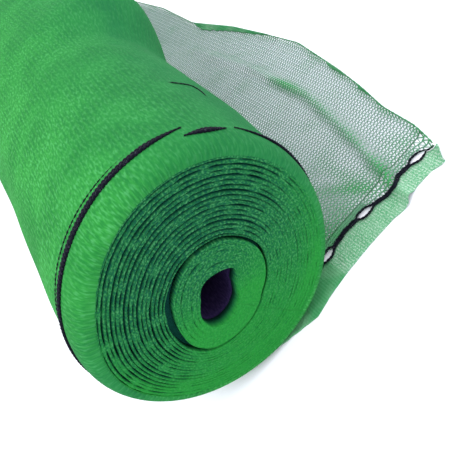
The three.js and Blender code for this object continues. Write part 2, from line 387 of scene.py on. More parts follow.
@dataclass(frozen=True)
class RollForm:
    """The wound form: an oval section with a flat spot, rounded over at both ends, leaning, and
    with the slack fold of its outer turn low on the far right side."""

    x: float = -1.0
    z: float = 117.6
    half_width: float = 125.0
    half_height: float = 119.7
    skew: float = 4.0
    shoulder_depth: float = 26.0
    shoulder_drop: float = 11.0
    lean: float = 20.0
    lean_length: float = 380.0
    slack_bulge: float = 46.0
    slack_angle: float = 22.0
    slack_spread: float = 36.0
    slack_start: float = -190.0
    slack_full: float = -85.0
    slack_ease: float = 0.3
    tuck: float = 9.0                  # how far the near rim is drawn in on its lower right
    tuck_angle: float = -20.0
    tuck_spread: float = 46.0
    tuck_full: float = -480.0          # drawn in fully up to here, and not at all past the next
    tuck_end: float = -360.0
    sheltered_x: float = 20.0          # the ground nearer the middle than this is under the roll
    bundle_x: float = -7.0
    bundle_z: float = 107.0
    bundle_reach: Curve = Curve(       # the inner bundle's edge from its middle, by angle
        at=(-160, -138, -99, -54, -33, 5, 37, 48, 75, 115, 154, 177),
        value=(50.5, 53.5, 47, 41, 44, 50, 50.5, 51, 48, 42, 41, 44.5), rounding=14, period=360)
    hollow_x: float = -8.0
    hollow_z: float = 104.0
    hollow_reach: Curve = Curve(
        at=(-173, -146, -128, -105, -84, -40, -7, 21, 46, 66, 92, 131, 152),
        value=(24.2, 28.8, 27.8, 23.8, 20.1, 15.6, 16.1, 27.9, 26.2, 25.1, 23.0, 18.4, 19.2),
        rounding=12, period=360)

    def outside(self, deg: Array, y: Array, inset: Array | float = 0.0) -> Array:
        """The outer turn: the oval's reach, plus the skew and the slack, less the rounded shoulder,
        from the middle along the angle; the top leans over, and nothing is under the ground.

        Args:
            deg: the angle.
            y: the place along the roll.
            inset: how far under the surface the point lies.

        Returns:
            The points.
        """
        angle = np.radians(deg)
        oval = 1 / np.hypot(np.cos(angle) / self.half_width, np.sin(angle) / self.half_height)
        from_end = np.clip(HALF_LENGTH - np.abs(y), 0, self.shoulder_depth)
        shoulder = self.shoulder_drop * (1 - np.sqrt(1 - (1 - from_end / self.shoulder_depth) ** 2))
        skew = self.skew * np.sin(2 * angle) * np.maximum(0, np.sin(angle))
        slack = (self.slack_bulge * bell(off_angle(deg, self.slack_angle), self.slack_spread)
                 * smoothstep(y, self.slack_start, self.slack_full)
                 * (1 - self.slack_ease * smoothstep(y, self.slack_full, HALF_LENGTH)))
        tuck = (self.tuck * bell(off_angle(deg, self.tuck_angle), self.tuck_spread)
                * (1 - smoothstep(y, self.tuck_full, self.tuck_end)))
        reach = oval + skew - shoulder + slack - tuck - inset
        z = np.maximum(0, self.z + reach * np.sin(angle))
        sideways = self.lean * smoothstep(y, -HALF_LENGTH, self.lean_length - HALF_LENGTH)
        x = self.x + reach * np.cos(angle) + sideways * z / (2 * self.z)
        return np.stack(np.broadcast_arrays(x, y, z), -1)

    def underside(self, x: Array, sunk: float) -> Array:
        """How high cloth lies against the roll from below: the lower half of the oval, less sunk.

        Args:
            x: places across the roll.
            sunk: how far into the soft roll the cloth is pressed.

        Returns:
            The height, which is 0 on the flat spot and outside the sheltered ground.
        """
        across = np.clip((x - self.x) / self.half_width, -1, 1)
        belly = self.z - self.half_height * np.sqrt(1 - across ** 2)
        return np.where(x < self.sheltered_x, np.maximum(0, belly - sunk), 0.0)

    def section(self, level: Array, deg: Array, y: Array) -> Array:
        """A point inside the roll: level 1 is the hollow's wall, 2 the inner bundle's edge and 3 the
        outside, and between them the way is straight.

        Args:
            level: from 1 to 3.
            deg: the angle.
            y: the place along the roll.

        Returns:
            The points.
        """
        angle, level = np.radians(deg), np.asarray(level)
        hollow, bundle = [
            np.stack(np.broadcast_arrays(x + reach(deg) * np.cos(angle), y,
                                         z + reach(deg) * np.sin(angle)), -1)
            for x, z, reach in ((self.hollow_x, self.hollow_z, self.hollow_reach),
                                (self.bundle_x, self.bundle_z, self.bundle_reach))]
        return np.where(level[..., None] < 2, blend(hollow, bundle, level - 1),
                        blend(bundle, self.outside(deg, y), level - 2))


Socket = bpy.types.NodeSocket

MIX_FACTOR, MIX_A, MIX_B, MIX_RESULT = 0, 6, 7, 2      # the Mix node's sockets for colours
WAVE_SCALE = 0.314159                                  # the Wave texture's scale for a period of 1


class Finish:
    """A material with a node tree that ends in one Principled shader."""

    def __init__(self, name: str, roughness: float, specular: float) -> None:
        """Starts the material.

        Args:
            name: the material's name.
            roughness: the shader's roughness.
            specular: its specular level.
        """
        self.material = bpy.data.materials.new(name)
        self.material.use_nodes = True
        self.tree = self.material.node_tree
        self.tree.nodes.clear()
        self.uniform = {"Roughness": roughness, "Specular IOR Level": specular}

    def add(self, kind: str, inputs: dict | Sequence = (), out: int | str = 0, **settings) -> Socket | None:
        """Adds a node, sets it and links it.

        Args:
            kind: the node's type, without its first word.
            inputs: sockets to link from, values or hex colours, by the input's name or number, or in
                the node's own order.
            out: the wanted output.
            settings: the node's own settings.

        Returns:
            That output, or None if the node has none.
        """
        node = self.tree.nodes.new("ShaderNode" + kind)
        for name, value in settings.items():
            setattr(node, name, value)
        for name, value in (inputs if isinstance(inputs, dict) else dict(enumerate(inputs))).items():
            if isinstance(value, Socket):
                self.tree.links.new(value, node.inputs[name])
            else:
                node.inputs[name].default_value = linear(value) if isinstance(value, str) else value
        return node.outputs[out] if len(node.outputs) else None

    def finish(self, base: str, coats: Sequence[tuple[Socket, str | Socket]],
               height: Socket | None = None, millimetres: float = 0.0) -> bpy.types.Material:
        """Lays each coat of colour over the last by its factor, and links the colour and the bump.

        Args:
            base: the colour under all the coats.
            coats: the factor and the colour of each.
            height: a factor for the bump, or None.
            millimetres: how high the bump stands.

        Returns:
            The finished material.
        """
        colour = base
        for factor, coat in coats:
            colour = self.add("Mix", {MIX_FACTOR: factor, MIX_A: colour, MIX_B: coat}, MIX_RESULT,
                              data_type="RGBA")
        inputs = {"Base Color": colour, **self.uniform}
        if height is not None:
            inputs["Normal"] = self.add("Bump", {"Height": height, "Distance": millimetres * MM,
                                                 "Strength": 1.0})
        self.add("OutputMaterial", {"Surface": self.add("BsdfPrincipled", inputs)})
        return self.material


@dataclass(frozen=True)
class WoundKnit:
    """Warp-knitted polyethylene tape, many turns deep: chains round the roll and laid-in strands
    along it. The eye sees soft green with faint streaks along the roll, one for each stitch, that
    come and go where the turn below shows through, and short light and dark flecks of tape.
    Painted shade darkens it where the mesh's tone rises."""

    mesh_dark: str = "1A6A2E"
    strand: str = "2D8336"
    fleck: str = "50A164"
    # painted shade, laid on where the tone rises: the slack fold, the dents and the near shoulder
    painted_shade: str = "175C38"
    tape: float = 1.9                  # the width of the tape, in millimetres
    showing: float = 38.0              # the size of the patches where the turn below shows
    cloud: float = 75.0                # and of the darker clouds

    def build(self) -> bpy.types.Material:
        """Makes the material, with its bump from the same stitches.

        Returns:
            The material.
        """
        knit = Finish("wound_warp_knit", roughness=0.85, specular=0.05)
        cloth, part = knit.add("UVMap", uv_map=FIRST_UV), knit.add("TexCoord", out="Object")
        stitches = knit.add("TexWave", {"Vector": cloth, "Scale": WAVE_SCALE / (COURSE * MM),
                                        "Distortion": 2.2, "Detail": 1.0, "Detail Scale": 35.0},
                            "Fac", bands_direction="X")
        patches, clouds = [
            knit.add("TexNoise", {"Vector": part, "Scale": 1 / (size * MM), "Detail": 1.0}, "Fac")
            for size in (self.showing, self.cloud)]
        showing = knit.add("MapRange", (patches, 0.4, 0.65, 0.3, 1.0))
        streaks = knit.add("Math", (stitches, showing), operation="MULTIPLY")
        along = knit.add("Mapping", {"Vector": cloth, "Scale": (1.0, 0.28, 1.0)})
        fine = knit.add("TexNoise", {"Vector": along, "Scale": 1 / (self.tape * MM), "Detail": 1.0}, "Fac")
        return knit.finish(self.strand, [
            (streaks, self.mesh_dark),
            (knit.add("MapRange", (fine, 0.3, 0.5, 0.7, 0.0)), self.mesh_dark),
            (knit.add("MapRange", (fine, 0.5, 0.72, 0.0, 0.55)), self.fleck),
            (knit.add("MapRange", (clouds, 0.35, 0.7, 0.0, 0.4)), self.mesh_dark),
            # painted shade, by the tone
            (knit.add("Attribute", out="Fac", attribute_name=TONE), self.painted_shade),
        ], knit.add("Math", (fine, streaks), operation="ADD"), millimetres=0.35)


@dataclass(frozen=True)
class TurnEdge:
    """The cut ends of many turns of the same knit: loops of tape end to end. The eye sees short
    light specks in rows on the rounded edges, and dark teal where light is lost between turns."""

    # deep, shaded and lit are painted shade and light: the dark between the turns and the loops, and the
    # turns' edges as the light falls on them
    deep: str = "093A37"
    shaded: str = "135230"
    lit: str = "1E782D"
    fleck: str = "468B5A"
    loop: float = 1.6                  # the size of a loop of tape, in millimetres

    def build(self) -> bpy.types.Material:
        """Makes the material: painted shade to painted light by the tone, a deep painted shade between the
        turns and between the loops, specks on the edges.

        Returns:
            The material.
        """
        edge = Finish("turn_edges_of_warp_knit", roughness=0.85, specular=0.05)
        tone, depth = [edge.add("Attribute", out="Fac", attribute_name=name) for name in (TONE, DEPTH)]
        along = edge.add("Mapping", {"Vector": edge.add("UVMap", uv_map=FIRST_UV), "Scale": (0.75, 1.0, 1.0)})
        loops = edge.add("TexNoise", {"Vector": along, "Scale": 1 / (self.loop * MM), "Detail": 1.0}, "Fac")
        plain = edge.add("MapRange", (tone, 0.3, 1.0, 1.0, 0.3))
        # painted shade in the pits between the loops, fading where the turns are painted lit
        gaps = edge.add("Math", (edge.add("MapRange", (loops, 0.36, 0.5, 0.6, 0.0)), plain),
                        operation="MULTIPLY")
        specks = edge.add("Math", (edge.add("MapRange", (loops, 0.5, 0.7, 0.0, 0.6)), plain),
                          operation="MULTIPLY")
        raised = edge.add("MapRange", (depth, 0.0, 0.6, 1.0, 0.0))
        return edge.finish(self.shaded, [
            (tone, self.lit),
            (gaps, self.deep),
            (edge.add("Math", (specks, raised), operation="MULTIPLY"), self.fleck),
            (edge.add("MapRange", (depth, 0.05, 0.85, 0.0, 0.88)), self.deep),
        ], loops, millimetres=0.5)


@dataclass(frozen=True)
class HemKnit:
    """The close-knitted hem beside the eyelet line: ribs across it and pin-sized openings, through
    which the pale ground shows. The eye takes it for mint, and for green where it is doubled."""

    pin_hole: str = "BBCFC3"
    paler: str = "A1C1AD"
    strand: str = "5AA177"
    full: str = "3A8B55"
    rib: float = 2.85                  # from rib to rib, in millimetres
    opening: float = 1.7               # the size of the openings
    cloud: float = 25.0                # and of the paler clouds

    def build(self) -> bpy.types.Material:
        """Makes the material: fine ribs, and openings that close as the tone rises.

        Returns:
            The material.
        """
        hem = Finish("close_knitted_hem", roughness=0.8, specular=0.1)
        cloth, part = hem.add("UVMap", uv_map=FIRST_UV), hem.add("TexCoord", out="Object")
        ribs = hem.add("TexWave", {"Vector": cloth, "Scale": WAVE_SCALE / (self.rib * MM),
                                   "Distortion": 2.5, "Detail": 1.0, "Detail Scale": 60.0},
                       "Fac", bands_direction="X")
        rows = hem.add("TexNoise", {"Vector": cloth, "Scale": 1 / (self.opening * MM), "Detail": 1.0}, "Fac")
        clouds = hem.add("TexNoise", {"Vector": part, "Scale": 1 / (self.cloud * MM), "Detail": 2.0}, "Fac")
        holes = hem.add("Math", (hem.add("MapRange", (ribs, 0.1, 0.9, 0.25, 1.0)),
                                 hem.add("MapRange", (rows, 0.42, 0.58))), operation="MULTIPLY")
        ridges = hem.add("Math", (ribs, 0.35), operation="MULTIPLY")
        doubled = hem.add("Mix", {MIX_FACTOR: ridges, MIX_A: self.full, MIX_B: self.strand}, MIX_RESULT,
                          data_type="RGBA")
        return hem.finish(self.strand, [
            (holes, self.pin_hole),
            (hem.add("Attribute", out="Fac", attribute_name=TONE), doubled),
            (hem.add("MapRange", (clouds, 0.4, 0.7, 0.0, 0.3)), self.paler),
        ], ribs, millimetres=0.25)


@dataclass(frozen=True)
class Mottled:
    """A finish of one colour with soft patches of another, for what has no stitches of its own.

    Attributes:
        name: the material and how it was made.
        colour: most of it, in hex.
        patch: its patches, in hex.
        size: how large a patch is, in millimetres.
        spread: the noise at which a patch starts and at which it is full, and how much it then covers.
        roughness: the shader's roughness.
        specular: the shader's specular level.
        bump: how high the patches stand, in millimetres, or 0.
        full: the colour where the mesh's tone is 1, in hex, or None.
        on_cloth: True if the patches follow the cloth, and False if the part's own frame.
        detail: how ragged the patches are.
    """

    name: str
    colour: str
    patch: str
    size: float
    spread: tuple[float, float, float]
    roughness: float
    specular: float
    bump: float = 0.0
    full: str | None = None
    on_cloth: bool = False
    detail: float = 2.0

    def build(self) -> bpy.types.Material:
        """Makes the material.

        Returns:
            The material.
        """
        made = Finish(self.name, self.roughness, self.specular)
        place = made.add("UVMap", uv_map=FIRST_UV) if self.on_cloth else made.add("TexCoord", out="Object")
        noise = made.add("TexNoise", {"Vector": place, "Scale": 1 / (self.size * MM), "Detail": self.detail},
                         "Fac")
        low, high, most = self.spread
        coats = [(made.add("MapRange", (noise, low, high, 0.0, most)), self.patch)]
        if self.full:
            coats.insert(0, (made.add("Attribute", out="Fac", attribute_name=TONE), self.full))
        return made.finish(self.colour, coats, noise if self.bump else None, self.bump)


# The inner turns seen from inside the roll: hardly any light reaches them, and the eye sees almost
# black, with the faintest stitches.
HOLLOW_WALL = Mottled("hollow_wall", colour="231C3C", patch="382D52", size=6.0, spread=(0.4, 0.8, 1.0),
                      roughness=0.95, specular=0.0, on_cloth=True)
# A single layer of polyethylene tape: with light through its meshes the eye takes it for grey-green,
# and where it is creased or doubled it is a full green. The same full green towards the roll is
# painted shade.
OPEN_STRAND = Mottled("open_knit_strands", colour="6E9183", patch="6F8F85", size=4.0,
                      spread=(0.35, 0.65, 0.3), roughness=0.7, specular=0.15, full="2A9048")
# Black polyethylene cord, knitted in to carry the load of the eyelets: near-black blue, with
# purple-grey glints where the tape's edges catch the light.
BLACK_CORD = Mottled("black_knitted_cord", colour="070A17", patch="494258", size=1.6,
                     spread=(0.6, 0.72, 0.35), roughness=0.8, specular=0.1, bump=0.3, detail=1.0)
# The heat-cut end of the cloth, where the tape has drawn together into a dark green, lumpy edge.
CUT_EDGE = Mottled("heat_cut_edge", colour="276F43", patch="438A5E", size=3.0, spread=(0.4, 0.7, 1.0),
                   roughness=0.6, specular=0.25, bump=0.3)
# Matt white studio paper: the eye sees even white, with the faintest cloud in it.
PALE_FLOOR = Mottled("studio_paper", colour="EDECF8", patch="EAE9F5", size=600.0, spread=(0.0, 1.0, 1.0),
                     roughness=0.95, specular=0.0)


@dataclass
class WoundWeb:
    """The outer turn, the bottoms of the gaps between the turns, and the hollow's wall, as one
    closed surface: a profile of level and place along the roll, carried right round."""

    form: RollForm
    columns: int = 384
    gap_floor: float = 9.0             # how far back the gaps between the turns reach
    lip: Curve = Curve(                # how far the outer turn's hem reaches over the end
        at=(-180, -150, -60, 0, 60, 96, 114, 133, 152, 169),
        value=(3.0, 2.0, 1.5, 2.0, 3.0, 2.5, 4.0, 6.5, 6.5, 4.0), rounding=25, period=360)
    shoulder_stops: tuple[float, ...] = (0, 0.3, 1.0, 2.2, 4.0, 6.3, 9.2, 12.5, 16.5, 21.0, 26.0)
    unevenness: float = 1.1
    even_ends: tuple[float, float] = (35.0, 110.0)     # it sets in between these, from each end
    ground_ease: float = 25.0          # and less of it under this height
    dimples: tuple[tuple[float, ...], ...] = (    # angle, y, spread in degrees, spread along y, depth
        (35, -128, 5, 9, 2.2), (33, -154, 5, 9, 2.2), (36, -174, 4, 9, 1.8), (42, -217, 5, 12, 1.6),
        (44, -290, 4, 14, 1.2), (36, -312, 6, 40, 1.0), (38, -60, 8, 45, 2.5))

    def profile(self, deg: Array) -> tuple[Array, Array, Array, Array]:
        """The stations of the profile at each angle.

        Args:
            deg: the angles, as one row.

        Returns:
            The level, the place along the roll, the place whose section it is read from, and the
            layer of the faces after each station.
        """
        lip_level = 3 - self.lip(deg) / WINDING
        floor = np.array([1.05, 1.3, 1.6, 1.9, 1.95, 2.05, 2.1, 2.4, 2.7, 2.9])[:, None]
        lip_back = np.array([self.gap_floor, 1.0, 0.4, 0.1, 0.0])[:, None]
        lip = lip_level + (3 - lip_level) * np.array([0.0, 0.0, 0.12, 0.45, 0.8])[:, None]
        shoulder = np.array(self.shoulder_stops)[:, None]
        middle = np.concatenate([np.arange(-469, -300, 3.5), np.arange(-298, 469, 8.0)])[:, None]
        wall = np.linspace(HALF_LENGTH - 20, 20 - HALF_LENGTH, 26)[:, None]
        stations = [
            (floor, self.gap_floor - HALF_LENGTH, Layer.BETWEEN_TURNS),
            (lip, lip_back - HALF_LENGTH, Layer.OUTSIDE),
            (3.0, shoulder - HALF_LENGTH, Layer.OUTSIDE),
            (3.0, middle, Layer.OUTSIDE),
            (3.0, HALF_LENGTH - shoulder[::-1], Layer.OUTSIDE),
            (lip[::-1], HALF_LENGTH - lip_back[::-1], Layer.BETWEEN_TURNS),
            (floor[::-1], HALF_LENGTH - self.gap_floor, Layer.BETWEEN_TURNS),
            (1.0, wall, Layer.HOLLOW),
        ]
        tables = [np.broadcast_arrays(level, y, deg[None, :])[:2] for level, y, _ in stations]
        level, y = [np.concatenate(columns) for columns in zip(*tables)]
        layers = np.repeat([layer.value for _, _, layer in stations], [len(table[0]) for table in tables])
        return level, y, np.where(level < 3, np.sign(y) * HALF_LENGTH, y), layers

    def build(self, finishes: Sequence[bpy.types.Material]) -> bpy.types.Object:
        """Makes the piece. The outer turn is moved in and out by soft unevenness away from its ends.

        Args:
            finishes: the materials of the outside, of between the turns, and of the hollow.

        Returns:
            The piece.
        """
        deg = np.arange(self.columns) * 360 / self.columns
        level, y, read_at, layers = self.profile(deg)
        angles = np.broadcast_to(deg, level.shape)
        points = self.form.section(level, angles, read_at)
        points[..., 1] = y
        soft = (wander(points, (160, 420, 160), seed=3) + 0.5 * wander(points, (60, 200, 60), seed=4))
        away = smoothstep(HALF_LENGTH - np.abs(y), *self.even_ends) * (level == 3)
        rise = np.clip(points[..., 2] / self.ground_ease, 0, 1)
        inward = self.form.section(level - 0.02, angles, read_at) - points
        inward[..., 1] = 0
        dents = sum(deep * bell(angles - at, wide) * bell(y - at_y, long)
                    for at, at_y, wide, long, deep in self.dimples)
        points = points + unit(inward) * (self.unevenness * soft * away * rise + dents)[..., None]
        radius = (self.form.half_width + self.form.half_height) / 2
        around = np.append(deg, 360.0) * np.pi / 180 * radius
        along = run_along(points[:, 0])
        along = np.append(along, along[-1] + 20)
        uv = np.stack(np.broadcast_arrays(around[None, :], along[:, None]), -1) * MM
        # The tone lays painted shade on the outer turn: on its right side round the slack fold, in the dents,
        # and low on the left of the near shoulder.
        shoulder = bell(off_angle(angles, 178), 34) * smoothstep(-y, 464, 480)
        tone = np.clip(0.7 * bell(off_angle(angles, 20), 55) + 0.07 * dents + 0.6 * shoulder, 0, 1)
        # A depth of 1 paints the bottoms of the gaps between the turns with the edge finish's deep painted
        # shade.
        surface = grid(points, uv, wrap_rows=True, wrap_columns=True,
                       values={TONE: tone, DEPTH: np.ones_like(tone)})
        surface.layers = np.repeat(layers, self.columns)
        return make_piece("wound_web", surface.outward(), finishes, ["wound_roll"])


@dataclass
class TurnEdges:
    """The edges of the wound turns in one end of the roll: the rounded edge of the cloth, as a
    profile carried along two spirals, one in the inner bundle and one from there to the outer turn.
    Each turn touches the next in a groove, deep at the upper left and shallow at the lower right."""

    form: RollForm
    end: End
    steps: int = 400                   # in each turn
    grooves: tuple[float, ...] = (     # how deep the groove outside each turn is
        2.6, 3.6, 2.0, 5.0, 2.2, 2.0, 4.6, 1.8, 2.8, 5.2, 2.2, 2.6, 4.8, 1.8, 4.2, 2.4, 0.8)
    bundle_grooves: tuple[float, ...] = (0.9, 1.4, 0.8, 1.5, 1.0, 0.8)
    shallowest: float = 0.15           # no groove is shallower than this
    unevenness: float = 0.45           # as a share of a groove's depth
    light_lost: tuple[float, float] = (0.9, 3.1)       # it gets dark between these depths
    knuckle: float = 0.3               # how far each loop of the knit stands out
    loop: float = 3.1                  # from loop to loop
    seam: float = -75.0                # the angle at which each turn starts
    base: float = 13.0                 # how far back the strip of edges reaches
    band: float = 20.0                 # each turn takes its specks from its own band of the pattern
    inner_gap: Curve = Curve(          # the gap round the inner bundle, by angle
        at=(-170, -120, -60, 0, 60, 110, 140, 160), value=(4.6, 3.0, 2.2, 2.4, 3.2, 4.6, 5.8, 5.8),
        rounding=20, period=360)
    lip: Curve = WoundWeb.lip

    def shallow(self, deg: Array) -> Array:
        """How deep the grooves are at an angle: 1 at the upper left, nearly 0 at the lower right."""
        return 0.3 + 0.7 * smoothstep(np.cos(np.radians(deg - 108)), -0.4, 0.4)

    def spiral(self, grooves: tuple[float, ...], first: Callable[[Array], Array],
               last: Callable[[Array], Array], seed: int) -> Surface:
        """The turns' edges between two levels. The boundary between turns rises from first to last
        as the spiral goes round, so the strip starts and ends at no width.

        Args:
            grooves: the depth of the groove outside each turn.
            first: the level inside the first turn, by angle.
            last: the level outside the last turn, by angle.
            seed: picks the unevenness.

        Returns:
            The surface, closed at both ends.
        """
        turns = len(grooves) - 1
        turn = np.linspace(0.02, turns + 0.98, (turns + 1) * self.steps)
        deg = 360 * turn + self.seam
        low, high = first(deg), last(deg)
        inside = low + (high - low) * np.clip((turn - 1) / turns, 0, 1)
        outside = low + (high - low) * np.clip(turn / turns, 0, 1)
        flat = np.full_like(turn, self.end.value * HALF_LENGTH)
        inner, outer = self.form.section(inside, deg, flat), self.form.section(outside, deg, flat)
        middle, across = (inner + outer) / 2, (outer - inner) / 2
        half = np.linalg.norm(across, axis=-1, keepdims=True)
        run, number = run_along(middle), turn.astype(int)

        def groove(at: Array, points: Array) -> Array:
            """The groove's depth at a boundary: its turn's own, by angle and with soft unevenness.

            Args:
                at: the boundary's place in turns.
                points: where it is.

            Returns:
                The depth.
            """
            own = np.interp(at, np.arange(turns + 1) + 0.5, grooves)
            uneven = 1 + self.unevenness * wander(points[:, [0, 2]], (17, 17), seed)
            return np.maximum(self.shallowest, own * self.shallow(deg) * uneven)

        inner_depth, outer_depth = groove(turn - 1, inner), groove(turn, outer)
        loops = self.knuckle * np.sin(2 * np.pi * run / self.loop
                                       + 2 * wander(middle[:, [0, 2]], (9, 9), seed + 1))
        back = 0.5 + 0.3 * wander(np.stack([run / 60, 7.0 * number], -1), (1, 1), seed + 2) + loops
        stops = np.array([-1.0, -1.0, -0.82, -0.5, -0.15, 0.15, 0.5, 0.82, 1.0, 1.0])
        fall = np.array([0.0, 1.0, 0.62, 0.18, 0.0, 0.0, 0.18, 0.62, 1.0, 0.0])
        side_depth = np.where(stops < 0, inner_depth[:, None], outer_depth[:, None])
        sunk = fall * side_depth + np.clip(back, 0, 2)[:, None] * (1 - fall)
        sunk[:, [0, -1]] = self.base
        points = (middle[:, None] + across[:, None] * stops[:, None]
                  - np.array([0, self.end.value, 0]) * sunk[..., None])
        widths = stops * half + self.band * number[:, None]
        uv = np.stack(np.broadcast_arrays(run[:, None], widths), -1)
        uv = np.concatenate([uv, uv[:, :1]], axis=1)
        # the deeper a point is sunk between the turns, the more painted shade it gets
        dusk, night = self.light_lost
        dark = np.clip((sunk - dusk) / (night - dusk), 0, 1)
        tone = self.tone((inside + outside) / 2, deg)[:, None] + 0 * dark
        surface = grid(points, uv * MM, wrap_columns=True, values={DEPTH: dark, TONE: tone})
        corners = len(stops)
        cap = np.array([[k, k + 1, corners - 2 - k, corners - 1 - k] for k in range(corners // 2 - 1)])
        far_cap = cap[:, ::-1] + (len(turn) - 1) * corners
        surface.faces = np.concatenate([surface.faces, cap, far_cap])
        surface.uv = np.concatenate([surface.uv, np.zeros((2 * len(cap), 4, 2))])
        return surface.outward()

    def tone(self, level: Array, deg: Array) -> Array:
        """How lit the turns are painted, from painted shade to painted light: most lit low on the left
        and near the outer turn, least at the top and the upper left, and lit again round the hollow.

        Args:
            level: from 1 to 3.
            deg: the angle.

        Returns:
            From 0 to 1.
        """
        low = 0.5 + 0.5 * np.cos(np.radians(deg + 105))
        rim = smoothstep(level, 2.5, 2.95) * (0.1 + 0.9 * low)
        bundle = np.where(level < 2, 0.2 + 0.25 * low, 0.0)
        return np.clip(0.08 + 0.85 * low ** 1.3 + 0.5 * rim + bundle, 0, 1)

    def build(self, finish: bpy.types.Material) -> list[bpy.types.Object]:
        """Makes the two spirals of this end.

        Args:
            finish: the material of the turns' edges.

        Returns:
            The pieces.
        """
        side = self.end.name.lower()
        outer = self.spiral(self.grooves, lambda deg: 2 + self.inner_gap(deg) / WINDING,
                            lambda deg: 3 - (self.lip(deg) - 0.4) / WINDING, seed=11)
        inner = self.spiral(self.bundle_grooves, lambda deg: 1.01 + 0 * deg, lambda deg: 2 + 0 * deg, seed=15)
        return [make_piece(f"{side}_turn_edges", outer, [finish]),
                make_piece(f"{side}_bundle_edges", inner, [finish])]


@dataclass(frozen=True)
class LooseCloth:
    """Where the loose end lies: its cut edge, its selvedge, the eyelet line, and how far it stands
    off the ground in the crease, the low lifts and the curled edge."""

    start: float = 31.0
    join_y: float = -454.0
    cut_x: Curve = Curve(
        at=(-500, -471, -441, -389, -340, -288, -186, -116, -25, 85, 218, 403, 500),
        value=(217, 229, 237, 242, 254, 264, 279, 275, 268, 250, 255, 243, 240), rounding=14)
    selvedge_y: Curve = Curve(
        at=(-62, -40, -11, 31, 55, 78, 110, 144, 166, 173, 184, 204, 217, 230),
        value=(-479, -488, -495, -505, -500, -497, -495.5, -496, -500, -495, -492, -492.5, -499, -504),
        rounding=2.5)
    line_y: Curve = Curve(
        at=(-26, -9, 17, 36, 61, 74, 90, 112, 147, 165, 173, 184, 198, 219, 226),
        value=(-483, -487, -487, -482, -472, -467, -465, -462, -467, -473, -477, -467, -468, -471, -479),
        rounding=3)
    crease_x: Curve = Curve(
        at=(-500, -473, -456, -367, -273, -151, 500),
        value=(170, 173, 179, 201, 219, 221, 185), rounding=10)
    crease_height: float = 6.0
    crease_half_width: float = 7.0
    curl_height: float = 4.0
    curl_width: float = 9.0
    lifts: tuple[tuple[float, ...], ...] = (      # x, y, height, spread along x, spread along y
        (118, -300, 4, 26, 120), (165, 60, 5, 30, 90), (110, 300, 4.5, 28, 110))
    slits: tuple[float, ...] = (82, 136.5, 209)
    slit_half_length: float = 9.5
    slit_half_width: float = 3.5

    def lift(self, x: Array, y: Array) -> Array:
        """How far the cloth stands off the ground: bells at the crease and the lifts, and the square
        of the nearness to the cut edge.

        Args:
            x: places on the ground.
            y: places on the ground.

        Returns:
            The height of the cloth's underside.
        """
        fade = 1 - smoothstep(y, -150, 120)
        height = self.crease_height * fade * bell(x - self.crease_x(y), self.crease_half_width)
        for at_x, at_y, high, along_x, along_y in self.lifts:
            height = height + high * bell(x - at_x, along_x) * bell(y - at_y, along_y)
        near_edge = np.clip(1 - (self.cut_x(y) - x) / self.curl_width, 0, 1.2)
        return np.maximum(0, height + self.curl_height * near_edge ** 2 - 0.3)

    def slit_gap(self, x: Array) -> Array:
        """Half the gap between the line's two cords: a lens at each slit, one less a square."""
        nearest = np.min([np.abs(x - slit) for slit in self.slits], axis=0)
        return self.slit_half_width * np.clip(1 - (nearest / self.slit_half_length) ** 2, 0, 1)

    def greenness(self, x: Array, y: Array) -> Array:
        """How green the cloth looks: full in the crease's sharp stretches, at the edge's folds and
        beside the eyelet line, greener towards the roll as painted shade of the roll on the ground
        below, and grey-green elsewhere.

        Args:
            x: places on the ground.
            y: places on the ground.

        Returns:
            From 0 to 1.
        """
        across = bell(x - self.crease_x(y), 6.0)
        sharp = (0.8 * bell(y + 225, 50) + 0.5 * bell(y + 395, 25) + 0.7 * bell(y + 455, 30)
                 + 0.5 * bell(y + 320, 60))
        to_pucker = 0.6 * bell(x - 125 + 0.55 * (y + 385), 9) * bell(y + 425, 38)
        band = 0.35 * bell(x - 158, 9) * bell(y + 405, 30)
        by_line = 0.3 * (1 - smoothstep(y - self.line_y(x), 4, 60))
        edge = 0.45 * np.clip(1 - (self.cut_x(y) - x) / 7, 0, 1)
        # painted shade: greener towards the roll, for the roll's shade on the ground under the cloth
        painted_roll_shade = 0.35 * (1 - smoothstep(x, 95, 150))
        blotch = 0.08 * wander(np.stack([x, y], -1), (40, 70), seed=21)
        return np.clip(across * sharp + to_pucker + band + by_line + edge + painted_roll_shade + blotch, 0, 1)


